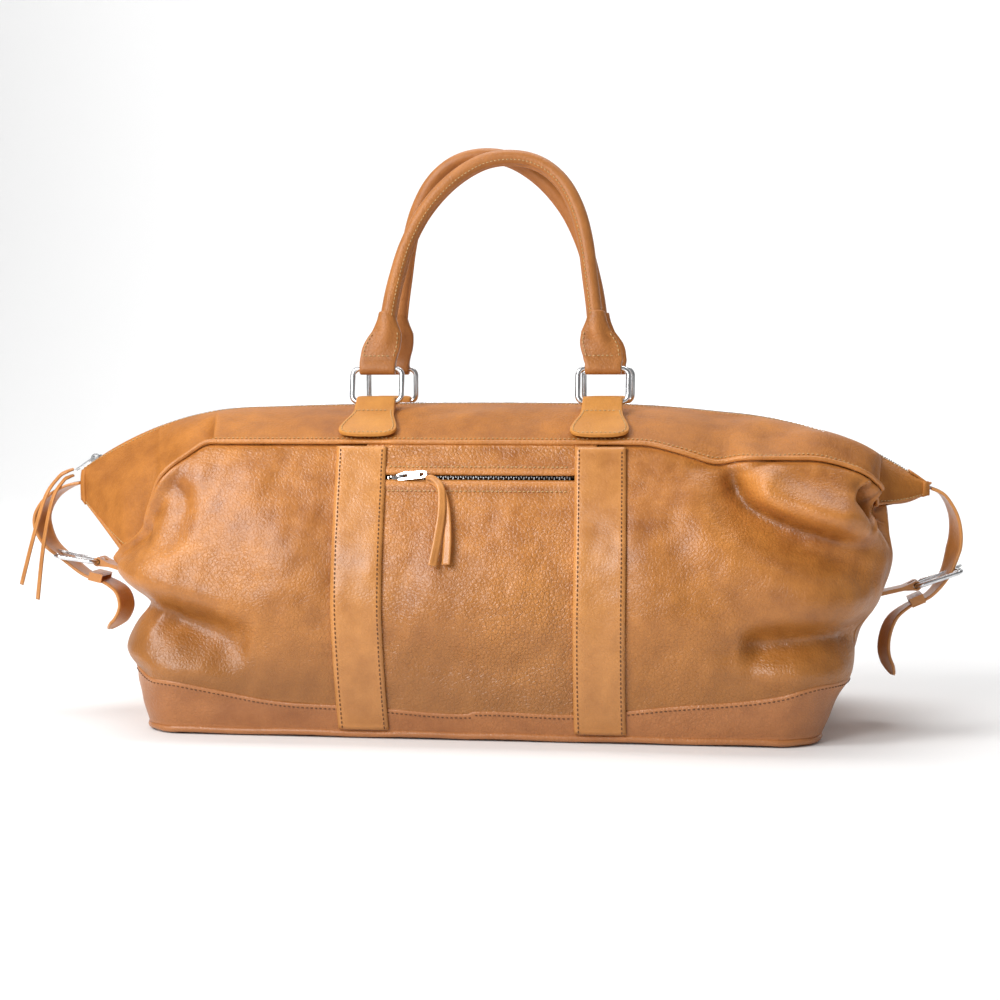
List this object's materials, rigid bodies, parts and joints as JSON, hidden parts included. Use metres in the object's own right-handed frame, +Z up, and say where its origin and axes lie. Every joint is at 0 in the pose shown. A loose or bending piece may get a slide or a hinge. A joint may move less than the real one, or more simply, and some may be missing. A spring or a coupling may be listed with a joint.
{
  "type": "weekender bag",
  "caption": "Leather weekender duffel with rolled handles on metal rings, a zipped front pocket, flat vertical straps and a buckled strap at each end.",
  "frame": {"origin": "under the middle of the base panel, on the plane that the bag stands on", "axes": "+X along the bag's length, the front pocket faces -Y, +Z up"},
  "size_m": [0.7621, 0.261, 0.4522],
  "materials": {
    "tan_leather": "smooth to pebbled full grain, semi-gloss",
    "base_leather": "smooth, semi-gloss",
    "strap_leather": "smooth, edge-stitched",
    "handle_leather": "smooth, rolled",
    "lining_cloth": "plain woven cotton",
    "zip_tape": "woven tape",
    "board": "fibre board",
    "rope": "twisted rope",
    "nickel": "polished nickel"
  },
  "bodies": {
    "bag": {"front_panel_left": "tan_leather", "front_panel_centre": "tan_leather", "front_panel_right": "tan_leather", "back_panel": "tan_leather", "end_panel_left": "tan_leather", "end_panel_right": "tan_leather", "top_gusset_front": "tan_leather", "top_gusset_back": "tan_leather", "base_panel": "base_leather", "base_band": "base_leather", "base_piping": "base_leather", "top_piping_front": "strap_leather", "top_piping_back": "strap_leather", "strap_front_left": "strap_leather", "strap_front_right": "strap_leather", "strap_back_left": "strap_leather", "strap_back_right": "strap_leather", "chape_front_left": "strap_leather", "chape_front_right": "strap_leather", "chape_back_left": "strap_leather", "chape_back_right": "strap_leather", "end_strap_left": "strap_leather", "end_strap_right": "strap_leather", "buckle_chape_left": "strap_leather", "buckle_chape_right": "strap_leather", "keeper_left": "strap_leather", "keeper_right": "strap_leather", "lining": "lining_cloth", "pocket_bag": "lining_cloth", "main_zip_tape_front": "zip_tape", "main_zip_tape_back": "zip_tape", "pocket_zip_tape_upper": "zip_tape", "pocket_zip_tape_lower": "zip_tape", "base_board": "board", "buckle_frame_left": "nickel", "buckle_frame_right": "nickel"},
    "ring_front_left": {"ring_front_left": "nickel"},
    "ring_front_right": {"ring_front_right": "nickel"},
    "ring_back_left": {"ring_back_left": "nickel"},
    "ring_back_right": {"ring_back_right": "nickel"},
    "handle_front": {"handle_cover_front": "handle_leather", "handle_core_front": "rope", "handle_tab_front_left": "handle_leather", "handle_tab_front_right": "handle_leather"},
    "handle_back": {"handle_cover_back": "handle_leather", "handle_core_back": "rope", "handle_tab_back_left": "handle_leather", "handle_tab_back_right": "handle_leather"},
    "main_slider": {"main_zip_slider": "nickel"},
    "main_pull": {"main_zip_pull": "nickel"},
    "main_thong": {"main_zip_thong": "strap_leather"},
    "pocket_slider": {"pocket_zip_slider": "nickel"},
    "pocket_pull": {"pocket_zip_pull": "nickel", "pocket_zip_thong": "strap_leather"},
    "prong_left": {"buckle_prong_left": "nickel"},
    "prong_right": {"buckle_prong_right": "nickel"}
  },
  "joints": [
    {"name": "ring_front_left_tilt", "type": "hinge", "parent": "bag", "child": "ring_front_left", "pos_m": [-0.0885, -0.035, 0.249], "axis": [1, 0, 0], "range_deg": [0, 50]},
    {"name": "ring_front_right_tilt", "type": "hinge", "parent": "bag", "child": "ring_front_right", "pos_m": [0.0885, -0.035, 0.249], "axis": [1, 0, 0], "range_deg": [0, 50]},
    {"name": "handle_front_swing", "type": "hinge", "parent": "ring_front_left", "child": "handle_front", "pos_m": [0, -0.02949, 0.27492], "axis": [1, 0, 0], "range_deg": [0, 90]},
    {"name": "ring_back_left_tilt", "type": "hinge", "parent": "bag", "child": "ring_back_left", "pos_m": [-0.0885, 0.035, 0.249], "axis": [-1, 0, 0], "range_deg": [0, 50]},
    {"name": "ring_back_right_tilt", "type": "hinge", "parent": "bag", "child": "ring_back_right", "pos_m": [0.0885, 0.035, 0.249], "axis": [-1, 0, 0], "range_deg": [0, 50]},
    {"name": "handle_back_swing", "type": "hinge", "parent": "ring_back_left", "child": "handle_back", "pos_m": [0, 0.03361, 0.27546], "axis": [-1, 0, 0], "range_deg": [0, 90]},
    {"name": "main_slider_travel", "type": "hinge", "parent": "bag", "child": "main_slider", "pos_m": [-0.185, 0, -0.0079], "axis": [0, 1, 0], "range_deg": [0, 15]},
    {"name": "main_pull_swing", "type": "hinge", "parent": "main_slider", "child": "main_pull", "pos_m": [-0.32998, 0, 0.2037], "axis": [0, 1, 0], "range_deg": [0, 100]},
    {"name": "main_thong_fold", "type": "hinge", "parent": "main_pull", "child": "main_thong", "pos_m": [-0.34714, 0, 0.19194], "axis": [0, 1, 0], "range_deg": [0, 45]},
    {"name": "pocket_slider_travel", "type": "slide", "parent": "bag", "child": "pocket_slider", "axis": [1, 0, 0], "range_m": [0, 0.1]},
    {"name": "pocket_pull_swing", "type": "hinge", "parent": "pocket_slider", "child": "pocket_pull", "pos_m": [-0.06, -0.0931, 0.19349], "axis": [0, -0.4933, -0.8699], "range_deg": [0, 120]},
    {"name": "prong_left_lift", "type": "hinge", "parent": "bag", "child": "prong_left", "pos_m": [-0.326, 0, 0.118], "axis": [0, 1, 0], "range_deg": [0, 28]},
    {"name": "prong_right_lift", "type": "hinge", "parent": "bag", "child": "prong_right", "pos_m": [0.33, 0, 0.107], "axis": [0, -1, 0], "range_deg": [0, 28]}
  ],
  "couplings": [
    {"joint": "ring_front_right_tilt", "follows": "ring_front_left_tilt", "ratio": 1},
    {"joint": "ring_back_right_tilt", "follows": "ring_back_left_tilt", "ratio": 1},
    {"joint": "main_thong_fold", "follows": "main_slider_travel", "ratio": 2.8}
  ]
}
